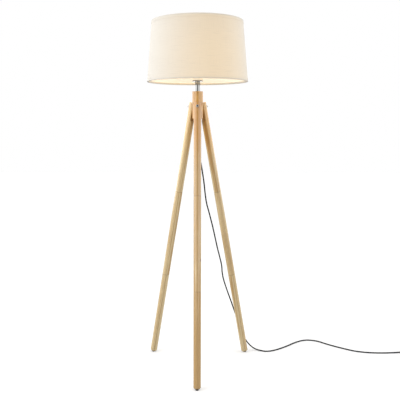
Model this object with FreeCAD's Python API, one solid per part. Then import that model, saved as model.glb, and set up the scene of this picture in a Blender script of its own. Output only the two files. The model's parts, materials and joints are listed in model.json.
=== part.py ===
"""Tripod floor lamp: three sectional wooden legs on a turned hub, a chrome neck, a lampholder with a
drum shade, and a mains lead with a foot switch. Millimetres, +Z up, the floor is z = 0 and the
origin is on the floor under the hub's axis. The front leg stands towards -Y."""

import FreeCAD
import Part
import math
import os

from FreeCAD import Rotation, Vector

# ---------------------------------------------------------------- driving dimensions
OVERALL_HEIGHT = 1500.0
SHADE_HEIGHT = 245.0
SHADE_TOP_R = 190.0
SHADE_BOTTOM_R = 212.0
FABRIC = 0.8
LINER = 1.0
FRAME_WIRE_R = 1.75

LEG_AZIMUTHS = {"front": -90.0, "right": 30.0, "left": 150.0}
FOOT_CIRCLE_R = 252.0  # where each leg's axis meets the floor
LEG_TOP_CIRCLE_R = 22.2  # the leg's axis at its top end
LEG_TOP_Z = 1170.0
LEG_TOP_R = 16.25
LEG_FOOT_R = 15.25
LEG_SECTIONS = ("lower", "middle", "upper")
LEG_END_RISE = 4.6  # the wood stops this far short of the floor, along the leg

HUB_R = 23.5
HUB_BOTTOM_Z = 1101.0
HUB_TOP_Z = 1215.0
SEAT_OFFSET = 8.5  # from the leg's axis in to the flat where it bears on the hub

NECK_R = 11.0
NECK_TOP_Z = 1256.0
DISC_R = 23.0
DISC_THICK = 2.5

CORD_R = 3.0
EXIT_Z = 1070.0  # the lead leaves the gland here

# ---------------------------------------------------------------- sizes that follow from them
SHADE_BOTTOM_Z = OVERALL_HEIGHT - SHADE_HEIGHT
SHADE_SLOPE = (SHADE_BOTTOM_R - SHADE_TOP_R) / SHADE_HEIGHT
SPLAY = math.degrees(math.atan2(FOOT_CIRCLE_R - LEG_TOP_CIRCLE_R, LEG_TOP_Z))
LEG_AXIS_LENGTH = LEG_TOP_Z / math.cos(math.radians(SPLAY))
SECTION_LENGTH = (LEG_AXIS_LENGTH - LEG_END_RISE) / len(LEG_SECTIONS)

# the standard M10 x 1 lamp tube that ties the hub, neck, disc and lampholder together
TUBE_R = 5.0
TUBE_BORE_R = 3.8
FIT = 0.1  # radial clearance of a plain shaft that stands for a thread, or of a push fit

# fasteners
SCREW_R = 3.0
SCREW_HEAD_R = 5.0
SCREW_HEAD_LENGTH = 6.0
SCREW_SOCKET_AF = 5.0
WASHER_R = 6.0
WASHER_THICK = 1.6
SCREW_FROM_TOP = 20.0  # along the leg
HUB_INSERT_R = 4.5
HUB_INSERT_LENGTH = 9.0
JOINT_BOLT_R = 4.0
JOINT_BOLT_LENGTH = 50.0
JOINT_BOLT_IN_UPPER = 28.0
JOINT_INSERT_R = 6.0
JOINT_INSERT_LENGTH = 20.0

# lampholder and bulb
HOLDER_BOTTOM_Z = NECK_TOP_Z + DISC_THICK
HOLDER_R = 23.0
HOLDER_BASE_HEIGHT = 20.0
HOLDER_WALL = 2.0
SHOULDER_Z = HOLDER_BOTTOM_Z + HOLDER_BASE_HEIGHT + 3.0
BARREL_R = 19.7
BARREL_TOP_Z = SHOULDER_Z + 34.0
FITTER_THICK = 2.0
BULB_CAP_R = 13.2
BULB_R = 30.0
BULB_LENGTH = 108.0

# foot switch and plug
SWITCH_CENTRE = (1040.0, 118.0)
SWITCH_LENGTH = 84.0
SWITCH_WIDTH = 42.0
SWITCH_HEIGHT = 24.0
SWITCH_SPLIT_Z = 8.0
SWITCH_WALL = 2.0
RELIEF_LENGTH = 22.0
BUTTON_R = 13.0
BUTTON_TRAVEL = 3.0
PLUG_FRONT_X = 984.0
PLUG_Y = -46.0
PLUG_LENGTH = 36.0
PLUG_WIDTH = 35.3
PLUG_THICK = 13.7
PLUG_RELIEF_LENGTH = 25.0

# the put-away coil of the lead
COIL_CENTRE = (1108.0, 4.0)
COIL_MEAN_R = 36.0
COIL_HALF_WIDTH = 9.0
COIL_BOTTOM_Z = 1.0
COIL_HEIGHT = 12.0

# Routes of the lead. It hangs from the gland, bows away between the rear legs, passes behind the
# right leg, lands on the floor and wanders to the foot switch.
HANGING_ROUTE = [
    (0, 0, EXIT_Z), (0, 0, 1012), (6, 6, 950), (17, 15, 887), (26, 25, 827), (31, 33, 772),
    (37, 41, 728), (49, 47, 685), (62, 55, 632), (74, 64, 577), (86, 73, 518), (101, 82, 459),
    (107, 88, 428), (108, 92, 400), (115, 97, 362), (133, 105, 306), (157, 117, 236),
    (183, 136, 154), (205, 146, 86), (229, 149, 38), (260, 143, 9),
]
FLOOR_ROUTE = [
    (290, 131, 3), (327, 118, 3), (377, 143, 3), (429, 185, 3), (482, 236, 3), (533, 263, 3),
    (586, 249, 3), (622, 214, 3), (658, 185, 3), (697, 158, 3), (740, 130, 3), (795, 114, 3),
    (860, 110, 3), (918, 114, 3), (950, 117, 4),
]
SWITCH_IN = (SWITCH_CENTRE[0] - SWITCH_LENGTH / 2 - RELIEF_LENGTH, SWITCH_CENTRE[1], SWITCH_SPLIT_Z)
SWITCH_OUT = (SWITCH_CENTRE[0] + SWITCH_LENGTH / 2 + RELIEF_LENGTH, SWITCH_CENTRE[1], SWITCH_SPLIT_Z)
LEAD_ROUTE = [
    SWITCH_OUT, (1124, 118, 5), (1141, 109, 3), (1151, 92, 3), (1152, 70, 3), (1150, 37, 3.5),
    (1150, 4, 4),
]
TAIL_ROUTE = [
    (1108, -39.5, 10), (1088, -40, 10), (1066, -44, 8), (1045, -46, PLUG_THICK / 2),
]


# ---------------------------------------------------------------- geometry helpers
def cylinder(radius, z0, z1, at=(0, 0)):
    return Part.makeCylinder(radius, z1 - z0, Vector(at[0], at[1], z0))


def pipe_piece(outer, inner, z0, z1, at=(0, 0)):
    return cylinder(outer, z0, z1, at).cut(cylinder(inner, z0 - 1, z1 + 1, at))


def turned(outline):
    """A solid of revolution about Z from a closed outline of (radius, height) points."""
    points = [Vector(r, 0, z) for r, z in outline]
    face = Part.Face(Part.makePolygon(points + points[:1]))
    return face.revolve(Vector(0, 0, 0), Vector(0, 0, 1), 360)


def along_x(shape, x, y, z):
    """Lays a shape built along +Z down along +X, its base at (x, y, z)."""
    laid = shape.copy()
    laid.Placement = FreeCAD.Placement(Vector(x, y, z), Rotation(Vector(0, 1, 0), 90))
    return laid


def stadium(length, width, z0, z1, at=(0, 0)):
    """A straight-sided block with round ends, long along X."""
    half = (length - width) / 2
    block = Part.makeBox(2 * half, width, z1 - z0, Vector(at[0] - half, at[1] - width / 2, z0))
    for side in (-1, 1):
        block = block.fuse(cylinder(width / 2, z0, z1, (at[0] + side * half, at[1])))
    return block.removeSplitter()


def hexagon(across_flats, z0, z1):
    radius = across_flats / math.sqrt(3)
    corners = [
        Vector(radius * math.cos(math.radians(60 * i)), radius * math.sin(math.radians(60 * i)), z0)
        for i in range(6)
    ]
    face = Part.Face(Part.makePolygon(corners + corners[:1]))
    return face.extrude(Vector(0, 0, z1 - z0))


def edges_at_height(shape, z):
    return [e for e in shape.Edges if abs(e.BoundBox.ZMin - z) < 1e-4 and abs(e.BoundBox.ZMax - z) < 1e-4]


def outer_edges_at_height(shape, z, radius):
    return [e for e in edges_at_height(shape, z) if e.BoundBox.XLength > 2 * radius - 0.01]


def group(solids):
    return Part.makeCompound(solids)


def corner_turns(points):
    return [(b - a).getAngle(c - b) for a, b, c in zip(points, points[1:], points[2:])]


def widest_radii(points):
    """The arc radius at each corner of a route: 0.45 of the shorter run over tan(half the turn)."""
    runs = [(b - a).Length for a, b in zip(points, points[1:])]
    shorter = [min(pair) for pair in zip(runs, runs[1:])]
    return [0.45 * run / math.tan(turn / 2) for run, turn in zip(shorter, corner_turns(points))]


def rounded_path(points, radii):
    """Straight runs joined by tangent arcs, one radius for each corner."""
    edges = []
    start = points[0]
    for before, corner, after, radius in zip(points, points[1:], points[2:], radii):
        into = (corner - before).normalize()
        out = (after - corner).normalize()
        half = into.getAngle(out) / 2
        reach = radius * math.tan(half)
        begin = corner - into * reach
        end = corner + out * reach
        middle = corner + (out - into).normalize() * (radius / math.cos(half) - radius)
        edges.append(Part.LineSegment(start, begin).toShape())
        edges.append(Part.Arc(begin, middle, end).toShape())
        start = end
    edges.append(Part.LineSegment(start, points[-1]).toShape())
    return Part.Wire(edges)


def rod_along(path, radius):
    heading = path.Edges[0].tangentAt(path.Edges[0].FirstParameter)
    start = path.Edges[0].valueAt(path.Edges[0].FirstParameter)
    section = Part.Wire(Part.Circle(start, heading, radius).toShape())
    return path.makePipeShell([section], True, False)


def cord_tube(name, route):
    """A round lead along straight runs joined by arcs as large as the runs allow."""
    points = [Vector(*p) for p in route]
    radii = widest_radii(points)
    path = rounded_path(points, radii)
    tube = rod_along(path, CORD_R)
    expected = math.pi * CORD_R ** 2 * path.Length
    print(name, "length", round(path.Length, 1), "mm, volume over section x length",
          round(tube.Volume / expected, 4), "radii", [round(r) for r in radii])
    return tube


# ---------------------------------------------------------------- the legs
# A leg is built standing along +Z with its foot's axis point at the origin and its hub side
# towards -X, then leaned and turned to its place.
def place_leg(shape, azimuth):
    placed = shape.copy()
    placed.rotate(Vector(0, 0, 0), Vector(0, 1, 0), -SPLAY)
    placed.translate(Vector(FOOT_CIRCLE_R, 0, 0))
    placed.rotate(Vector(0, 0, 0), Vector(0, 0, 1), azimuth)
    return placed


def leg_radius(s):
    return LEG_FOOT_R + (LEG_TOP_R - LEG_FOOT_R) * (s - LEG_END_RISE) / (LEG_AXIS_LENGTH - LEG_END_RISE)


def section_ends(index):
    low = LEG_END_RISE + index * SECTION_LENGTH
    return low, low + SECTION_LENGTH


def leg_section(index):
    """One round tapering section with small chamfers where it meets the next."""
    low, high = section_ends(index)
    chamfer = 0.6
    body = Part.makeCone(leg_radius(low), leg_radius(high), high - low, Vector(0, 0, low))
    body = body.makeChamfer(chamfer, edges_at_height(body, high if index < 2 else low))
    if index == 0:
        body = body.makeFillet(8.0, outer_edges_at_height(body, low, leg_radius(low)))
        body = body.cut(cylinder(3.0 + FIT, low - 1, low + 10.5))
    if index == 1:
        body = body.makeChamfer(chamfer, outer_edges_at_height(body, low, leg_radius(low)))
    if index == 2:
        body = body.makeChamfer(2.0, outer_edges_at_height(body, high, leg_radius(high)))
    if index > 0:
        body = body.cut(cylinder(JOINT_BOLT_R + FIT, low - 1, low + JOINT_BOLT_IN_UPPER + 1))
    if index < 2:
        body = body.cut(cylinder(JOINT_INSERT_R + FIT, high - JOINT_INSERT_LENGTH - 4, high + 1))
    return body


def upper_section():
    """The top section: planed flat where it bears on the hub and drilled for its screw."""
    body = leg_section(2)
    flat_length = 78.0
    top = LEG_AXIS_LENGTH
    body = body.cut(Part.makeBox(30, 60, flat_length + 1, Vector(-SEAT_OFFSET - 30, -30, top - flat_length)))
    hole = Part.makeCylinder(SCREW_R + 0.25, 60, Vector(-30, 0, screw_height()), Vector(1, 0, 0))
    spot = Part.makeCylinder(WASHER_R + 0.3, 30, Vector(washer_seat(), 0, screw_height()), Vector(1, 0, 0))
    return body.cut(hole).cut(spot)


def screw_height():
    return LEG_AXIS_LENGTH - SCREW_FROM_TOP


def washer_seat():
    """How far out from the leg's axis the spot face lies."""
    return math.sqrt(leg_radius(screw_height()) ** 2 - WASHER_R ** 2)


def screw_axis_piece(shape, start):
    """Lays a piece built along +Z along the screw's axis, its base `start` out from the leg's axis."""
    return along_x(shape, start, 0, screw_height())


def leg_screw():
    seat = washer_seat() + WASHER_THICK
    shank_length = seat + SEAT_OFFSET + HUB_INSERT_LENGTH - 1.5
    head = cylinder(SCREW_HEAD_R, 0, SCREW_HEAD_LENGTH)
    head = head.makeChamfer(0.6, edges_at_height(head, SCREW_HEAD_LENGTH))
    head = head.cut(hexagon(SCREW_SOCKET_AF, SCREW_HEAD_LENGTH - 3.0, SCREW_HEAD_LENGTH + 1))
    screw = head.fuse(cylinder(SCREW_R, -shank_length, 0.5))
    return screw_axis_piece(screw, seat)


def leg_screw_washer():
    return screw_axis_piece(pipe_piece(WASHER_R, SCREW_R + 0.2, 0, WASHER_THICK), washer_seat())


def hub_insert():
    inner_end = -SEAT_OFFSET - HUB_INSERT_LENGTH
    return screw_axis_piece(pipe_piece(HUB_INSERT_R, SCREW_R + FIT, 0, HUB_INSERT_LENGTH - 0.2), inner_end)


def joint_bolt(index):
    """The double-ended bolt in the joint at the top of section `index`."""
    low = section_ends(index)[1] - (JOINT_BOLT_LENGTH - JOINT_BOLT_IN_UPPER)
    return cylinder(JOINT_BOLT_R, low, low + JOINT_BOLT_LENGTH)


def joint_insert(index):
    high = section_ends(index)[1]
    return pipe_piece(JOINT_INSERT_R, JOINT_BOLT_R + FIT, high - JOINT_INSERT_LENGTH, high - 0.5)


def foot_pad():
    """A rubber button pressed into the leg's end and worn flat on the floor."""
    pin = cylinder(3.0, 0, LEG_END_RISE + 10)
    button = cylinder(7.0, -10, LEG_END_RISE - 0.05)
    return pin.fuse(button)


def placed_foot_pad(azimuth):
    below_floor = Part.makeBox(800, 800, 60, Vector(-400, -400, -60))
    return place_leg(foot_pad(), azimuth).cut(below_floor)


def legs():
    builders = (lambda: leg_section(0), lambda: leg_section(1), upper_section)
    parts = {}
    for side, azimuth in LEG_AZIMUTHS.items():
        for name, build in zip(LEG_SECTIONS, builders):
            parts[f"{side}_leg_{name}"] = place_leg(build(), azimuth)
        parts[f"{side}_foot_pad"] = placed_foot_pad(azimuth)
    azimuths = LEG_AZIMUTHS.values()
    parts["leg_screws"] = group([place_leg(leg_screw(), a) for a in azimuths])
    parts["leg_screw_washers"] = group([place_leg(leg_screw_washer(), a) for a in azimuths])
    parts["hub_inserts"] = group([place_leg(hub_insert(), a) for a in azimuths])
    parts["leg_joint_bolts"] = group([place_leg(joint_bolt(i), a) for a in azimuths for i in (0, 1)])
    parts["leg_joint_inserts"] = group([place_leg(joint_insert(i), a) for a in azimuths for i in (0, 1)])
    return parts


# ---------------------------------------------------------------- hub and neck
NUT_RECESS = 8.0
NUT_HEIGHT = 5.0
HUB_WASHER_THICK = 1.5


def hub():
    """A turned cylinder with three sloping flats for the legs and a through bore for the tube."""
    body = cylinder(HUB_R, HUB_BOTTOM_Z, HUB_TOP_Z)
    body = body.makeChamfer(1.0, edges_at_height(body, HUB_TOP_Z) + edges_at_height(body, HUB_BOTTOM_Z))
    body = body.cut(cylinder(TUBE_R + 0.2, HUB_BOTTOM_Z - 1, HUB_TOP_Z + 1))
    body = body.cut(cylinder(11.0, HUB_BOTTOM_Z - 1, HUB_BOTTOM_Z + NUT_RECESS))
    seat = Part.makeBox(80, 80, 150.3, Vector(-SEAT_OFFSET, -40, LEG_AXIS_LENGTH - 150))
    insert_hole = screw_axis_piece(
        cylinder(HUB_INSERT_R + FIT, 0, HUB_INSERT_LENGTH + 5), -SEAT_OFFSET - HUB_INSERT_LENGTH
    )
    for azimuth in LEG_AZIMUTHS.values():
        body = body.cut(place_leg(seat, azimuth))
        body = body.cut(place_leg(insert_hole, azimuth))
    return body


def neck_and_hub():
    recess_top = HUB_BOTTOM_Z + NUT_RECESS
    nut_top = recess_top - HUB_WASHER_THICK
    nut_bottom = nut_top - NUT_HEIGHT
    tube_bottom = nut_bottom - 12.0
    tube_top = HOLDER_BOTTOM_Z + 10.0
    nut = hexagon(17.0, nut_bottom, nut_top).cut(cylinder(TUBE_R + FIT, nut_bottom - 1, nut_top + 1))
    disc = turned([
        (TUBE_R + FIT, NECK_TOP_Z), (DISC_R - 1.2, NECK_TOP_Z), (DISC_R, NECK_TOP_Z + 0.8),
        (DISC_R, HOLDER_BOTTOM_Z - 0.6), (DISC_R - 0.6, HOLDER_BOTTOM_Z), (TUBE_R + FIT, HOLDER_BOTTOM_Z),
    ])
    gland_tip_r = CORD_R + 1.4
    gland_shoulder_z = EXIT_Z + 16
    gland = turned([
        (CORD_R + FIT, EXIT_Z), (gland_tip_r, EXIT_Z), (6.5, gland_shoulder_z), (8.0, gland_shoulder_z),
        (8.0, nut_bottom - 0.2), (TUBE_R + FIT, nut_bottom - 0.2), (TUBE_R + FIT, tube_bottom - 0.2),
        (CORD_R + FIT, tube_bottom - 0.2),
    ])
    return {
        "hub": hub(),
        "neck_tube": pipe_piece(NECK_R, NECK_R - 1.0, HUB_TOP_Z, NECK_TOP_Z),
        "neck_disc": disc,
        "threaded_tube": pipe_piece(TUBE_R, TUBE_BORE_R, tube_bottom, tube_top),
        "hub_washer": pipe_piece(10.0, TUBE_R + FIT, nut_top, recess_top),
        "hub_nut": nut,
        "cord_gland": gland,
        "inner_lead": cylinder(CORD_R, EXIT_Z, tube_top + 1.5),
    }


# ---------------------------------------------------------------- lampholder and bulb
def holder_base():
    z = HOLDER_BOTTOM_Z
    top = z + HOLDER_BASE_HEIGHT
    shell = turned([
        (TUBE_R + FIT, z), (HOLDER_R - 3, z), (HOLDER_R, z + 3), (HOLDER_R, top),
        (HOLDER_R - HOLDER_WALL, top), (HOLDER_R - HOLDER_WALL, z + 3), (8.0, z + 3), (8.0, z + 9.5),
        (TUBE_R + FIT, z + 9.5),
    ])
    return shell


def holder_body():
    low = HOLDER_BOTTOM_Z + HOLDER_BASE_HEIGHT
    body = turned([
        (17.2, low), (HOLDER_R, low), (HOLDER_R, SHOULDER_Z), (BARREL_R, SHOULDER_Z),
        (BARREL_R, BARREL_TOP_Z - 1), (BARREL_R - 1, BARREL_TOP_Z), (14.6, BARREL_TOP_Z),
        (14.6, BARREL_TOP_Z - 3), (17.2, BARREL_TOP_Z - 3),
    ])
    return body


def shade_clamp_ring():
    low = SHOULDER_Z + FITTER_THICK
    return turned([
        (BARREL_R + FIT, low), (27.0, low), (27.0, low + 2.5), (24.0, low + 3.5),
        (23.0, low + 10), (BARREL_R + FIT, low + 10),
    ])


def holder_insert():
    low = HOLDER_BOTTOM_Z + 12.5
    high = SHOULDER_Z + 1.0
    block = cylinder(17.0, low, high)
    for side in (-1, 1):
        block = block.cut(cylinder(2.0, low - 1, high + 1, (side * 9.0, 0)))
    return block


def holder_thread_shell():
    low = SHOULDER_Z + 1.1
    return turned([
        (13.6, low), (14.4, low), (14.4, BARREL_TOP_Z - 7), (13.6, BARREL_TOP_Z - 7),
    ])


def holder_contacts():
    """The live spring leaf under the bulb's tip, and the leaf beside it."""
    base_z = SHOULDER_Z + 1.05
    centre = Part.makeBox(14, 5, 0.6, Vector(-9, -2.5, base_z))
    centre = centre.fuse(Part.makeBox(6, 5, 1.6, Vector(-3, -2.5, base_z)))
    side = Part.makeBox(4, 4, 0.6, Vector(7, -2, base_z))
    return group([centre.removeSplitter(), side])


def bulb():
    tip_z = SHOULDER_Z + 2.8
    cap_low = tip_z + 2.0
    cap_top = tip_z + 25.0
    body_top = tip_z + 62.0
    globe_centre = tip_z + BULB_LENGTH - BULB_R
    contact = cylinder(4.5, tip_z, cap_low - 0.05)
    cap = turned([
        (0, cap_low), (6, cap_low), (BULB_CAP_R - 1, cap_low + 5), (BULB_CAP_R, cap_low + 6),
        (BULB_CAP_R, cap_top), (0, cap_top),
    ])
    body = turned([
        (0, cap_top + 0.05), (13.6, cap_top + 0.05), (13.9, cap_top + 8), (25.0, cap_top + 26),
        (27.0, body_top), (0, body_top),
    ])
    glass = 1.2
    dome = Part.makeSphere(BULB_R, Vector(0, 0, globe_centre))
    hollow = Part.makeSphere(BULB_R - glass, Vector(0, 0, globe_centre))
    dome = dome.cut(hollow).cut(cylinder(BULB_R + 5, globe_centre - 2 * BULB_R, body_top + 0.1))
    return {"bulb_contact": contact, "bulb_cap": cap, "bulb_body": body, "bulb_globe": dome}


def lampholder():
    return {
        "holder_base": holder_base(),
        "holder_body": holder_body(),
        "shade_clamp_ring": shade_clamp_ring(),
        "holder_insert": holder_insert(),
        "holder_thread_shell": holder_thread_shell(),
        "holder_contacts": holder_contacts(),
    }


# ---------------------------------------------------------------- shade
ARM_R = 1.75
ARM_COUNT = 3
ARM_FIRST_AZIMUTH = 90.0
RING_INSET = 4.0  # from the fabric's outside to the wire's centre
RING_LIFT = 2.5  # from the shade's end to the wire's centre
HEM = 0.6
HEM_BAND = 13.0
HEM_TURN_IN = 7.0


def shade_outer_r(z):
    return SHADE_BOTTOM_R - (z - SHADE_BOTTOM_Z) * SHADE_SLOPE


def skin(outside, thickness):
    """A conical skin whose outer face lies `outside` in from the fabric's."""
    top_r = SHADE_TOP_R - outside
    bottom_r = SHADE_BOTTOM_R - outside
    return turned([
        (bottom_r - thickness, SHADE_BOTTOM_Z), (bottom_r, SHADE_BOTTOM_Z),
        (top_r, OVERALL_HEIGHT), (top_r - thickness, OVERALL_HEIGHT),
    ])


def hem(end_z, inward):
    """Tape folded over the shade's end: a band outside, and a short turn-in round the wire.
    `inward` is +1 where the shade continues upwards from the end and -1 where it goes down."""
    band_z = end_z + inward * HEM_BAND
    turn_z = end_z + inward * HEM_TURN_IN
    edge_z = end_z - inward * HEM
    inner_r = shade_outer_r(end_z) - RING_INSET - FRAME_WIRE_R - 0.3
    outer_r = shade_outer_r(end_z)
    return turned([
        (outer_r + 0.05, end_z), (shade_outer_r(band_z) + 0.05, band_z),
        (shade_outer_r(band_z) + 0.05 + HEM, band_z), (outer_r + 0.05 + HEM, edge_z),
        (inner_r - HEM, edge_z), (inner_r - HEM, turn_z), (inner_r, turn_z), (inner_r, end_z),
    ])


def spider_arm():
    """One cranked wire arm: up inside the shade from the bottom ring, then in to the fitter."""
    foot_r = SHADE_BOTTOM_R - RING_INSET - 3.0
    low_z = SHADE_BOTTOM_Z + RING_LIFT - 1.0
    arm_z = SHOULDER_Z + FITTER_THICK / 2 + 0.2
    bend = 8.0
    inner_r = 27.5
    corners = [Vector(foot_r, 0, low_z), Vector(foot_r, 0, arm_z), Vector(inner_r, 0, arm_z)]
    return rod_along(rounded_path(corners, [bend]), ARM_R)


def shade():
    arms = []
    hem_notches = []
    for i in range(ARM_COUNT):
        azimuth = ARM_FIRST_AZIMUTH + i * 360.0 / ARM_COUNT
        notch = Part.makeBox(14, 9, 10, Vector(SHADE_BOTTOM_R - 20, -4.5, SHADE_BOTTOM_Z + 0.05))
        for piece, kept in ((spider_arm(), arms), (notch, hem_notches)):
            piece.rotate(Vector(0, 0, 0), Vector(0, 0, 1), azimuth)
            kept.append(piece)
    bottom_hem = hem(SHADE_BOTTOM_Z, 1)
    for notch in hem_notches:
        bottom_hem = bottom_hem.cut(notch)
    bottom_ring_r = SHADE_BOTTOM_R - RING_INSET
    top_ring_r = SHADE_TOP_R - RING_INSET
    return {
        "shade_fabric": skin(0.0, FABRIC),
        "shade_liner": skin(FABRIC, LINER),
        "top_hem": hem(OVERALL_HEIGHT, -1),
        "bottom_hem": bottom_hem,
        "top_wire_ring": Part.makeTorus(top_ring_r, FRAME_WIRE_R, Vector(0, 0, OVERALL_HEIGHT - RING_LIFT)),
        "bottom_wire_ring": Part.makeTorus(bottom_ring_r, FRAME_WIRE_R, Vector(0, 0, SHADE_BOTTOM_Z + RING_LIFT)),
        "fitter_ring": pipe_piece(29.0, BARREL_R + 0.3, SHOULDER_Z, SHOULDER_Z + FITTER_THICK),
        "spider_arms": group(arms),
    }


# ---------------------------------------------------------------- foot switch
BUTTON_FLANGE_R = BUTTON_R + 2.5
FLANGE_THICK = 2.5
COVER_INSIDE_Z = SWITCH_HEIGHT - SWITCH_WALL
SWITCH_SCREW_X = 31.0
CORD_HOLE_R = 5.0


def cord_holes():
    """The way in and out through both ends of the switch's case."""
    x, y = SWITCH_CENTRE
    return along_x(cylinder(CORD_HOLE_R, 0, SWITCH_LENGTH + 10), x - SWITCH_LENGTH / 2 - 5, y, SWITCH_SPLIT_Z)


def switch_screw_places():
    x, y = SWITCH_CENTRE
    return [(x + side * SWITCH_SCREW_X, y + side * 11.0) for side in (-1, 1)]


def switch_base():
    inner = 2 * SWITCH_WALL
    case = stadium(SWITCH_LENGTH, SWITCH_WIDTH, 0, SWITCH_SPLIT_Z - 0.05, SWITCH_CENTRE)
    case = case.makeFillet(1.0, edges_at_height(case, 0))
    case = case.cut(stadium(
        SWITCH_LENGTH - inner, SWITCH_WIDTH - inner, SWITCH_WALL, SWITCH_SPLIT_Z + 1, SWITCH_CENTRE))
    for place in switch_screw_places():
        case = case.fuse(cylinder(4.5, 0.5, SWITCH_SPLIT_Z - 0.05, place).common(
            stadium(SWITCH_LENGTH - 1, SWITCH_WIDTH - 1, 0, SWITCH_SPLIT_Z, SWITCH_CENTRE)))
        case = case.cut(cylinder(1.6, -1, SWITCH_SPLIT_Z + 1, place))
        case = case.cut(cylinder(3.1, -1, 2.6, place))
    return case.cut(cord_holes())


def switch_cover():
    inner = 2 * SWITCH_WALL
    case = stadium(SWITCH_LENGTH, SWITCH_WIDTH, SWITCH_SPLIT_Z, SWITCH_HEIGHT, SWITCH_CENTRE)
    case = case.makeFillet(5.0, edges_at_height(case, SWITCH_HEIGHT))
    cavity = stadium(
        SWITCH_LENGTH - inner, SWITCH_WIDTH - inner, SWITCH_SPLIT_Z - 1, COVER_INSIDE_Z, SWITCH_CENTRE)
    cavity = cavity.makeFillet(3.5, edges_at_height(cavity, COVER_INSIDE_Z))
    case = case.cut(cavity)
    for place in switch_screw_places():
        post = cylinder(4.0, SWITCH_SPLIT_Z, COVER_INSIDE_Z + 0.5, place)
        post = post.common(stadium(
            SWITCH_LENGTH - 1, SWITCH_WIDTH - 1, SWITCH_SPLIT_Z, SWITCH_HEIGHT, SWITCH_CENTRE))
        case = case.fuse(post).cut(cylinder(1.3, SWITCH_SPLIT_Z - 1, SWITCH_SPLIT_Z + 9, place))
    case = case.cut(cylinder(BUTTON_R + 0.4, SWITCH_SPLIT_Z, SWITCH_HEIGHT + 1, SWITCH_CENTRE))
    return case.cut(cord_holes())


def switch_button():
    """A cap with a flange that keeps it in, and a socket underneath for its spring."""
    flange_top = COVER_INSIDE_Z - 0.2
    flange_low = flange_top - FLANGE_THICK
    top_z = SWITCH_HEIGHT + BUTTON_TRAVEL + 1.5
    cap = turned([
        (0, flange_low + 1.5), (4.0, flange_low + 1.5), (7.2, flange_low + 1.5), (7.2, flange_low),
        (BUTTON_FLANGE_R, flange_low), (BUTTON_FLANGE_R, flange_top), (BUTTON_R, flange_top),
        (BUTTON_R, top_z - 2), (BUTTON_R - 2, top_z - 0.4), (8, top_z), (0, top_z),
    ])
    cap.translate(Vector(SWITCH_CENTRE[0], SWITCH_CENTRE[1], 0))
    return cap


def switch_spring():
    wire_r = 0.6
    coil_r = 5.8
    turns = 5
    low = SWITCH_WALL + wire_r + 0.1
    high = COVER_INSIDE_Z - 0.2 - FLANGE_THICK + 1.5 - wire_r - 0.1
    helix = Part.makeHelix((high - low) / turns, high - low, coil_r)
    section = Part.Wire(Part.Circle(Vector(coil_r, 0, 0), Vector(0, 1, 0), wire_r).toShape())
    spring = Part.Wire(helix.Edges).makePipeShell([section], True, True)
    spring.translate(Vector(SWITCH_CENTRE[0], SWITCH_CENTRE[1], low))
    return spring


def switch_terminals():
    x, y = SWITCH_CENTRE
    blocks = []
    for side in (-1, 1):
        at = (x + side * 23.0, y - side * 11.0)
        block = Part.makeBox(8, 6, 7, Vector(at[0] - 4, at[1] - 3, SWITCH_WALL + 0.05))
        blocks.append(block.cut(cylinder(1.2, SWITCH_WALL + 3, SWITCH_WALL + 9, at)))
    return group(blocks)


def switch_screws():
    screws = []
    for place in switch_screw_places():
        head = cylinder(2.9, 0.9, 2.5, place)
        screws.append(head.fuse(cylinder(1.2, 2.0, SWITCH_SPLIT_Z + 8, place)))
    return group(screws)


def switch_reliefs():
    """Soft tapered sleeves where the lead enters and leaves the switch."""
    sleeve = turned([
        (CORD_R + FIT, 0), (CORD_R + 1.0, 0), (CORD_HOLE_R + 0.8, RELIEF_LENGTH - 0.1),
        (CORD_HOLE_R - 0.1, RELIEF_LENGTH - 0.1), (CORD_HOLE_R - 0.1, RELIEF_LENGTH + 3.2),
        (CORD_HOLE_R + 1.0, RELIEF_LENGTH + 3.2), (CORD_HOLE_R + 1.0, RELIEF_LENGTH + 4.8),
        (CORD_R + FIT, RELIEF_LENGTH + 4.8),
    ])
    incoming = along_x(sleeve, *SWITCH_IN)
    outgoing = incoming.mirror(Vector(SWITCH_CENTRE[0], 0, 0), Vector(1, 0, 0))
    return group([incoming, outgoing])


def foot_switch():
    return {
        "switch_base": switch_base(),
        "switch_cover": switch_cover(),
        "switch_button": switch_button(),
        "switch_spring": switch_spring(),
        "switch_terminals": switch_terminals(),
        "switch_screws": switch_screws(),
        "switch_reliefs": switch_reliefs(),
    }


# ---------------------------------------------------------------- plug
PIN_SPACING = 18.6
PIN_R = 2.0
PIN_LENGTH = 19.0
SLEEVE_LENGTH = 9.0


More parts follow.
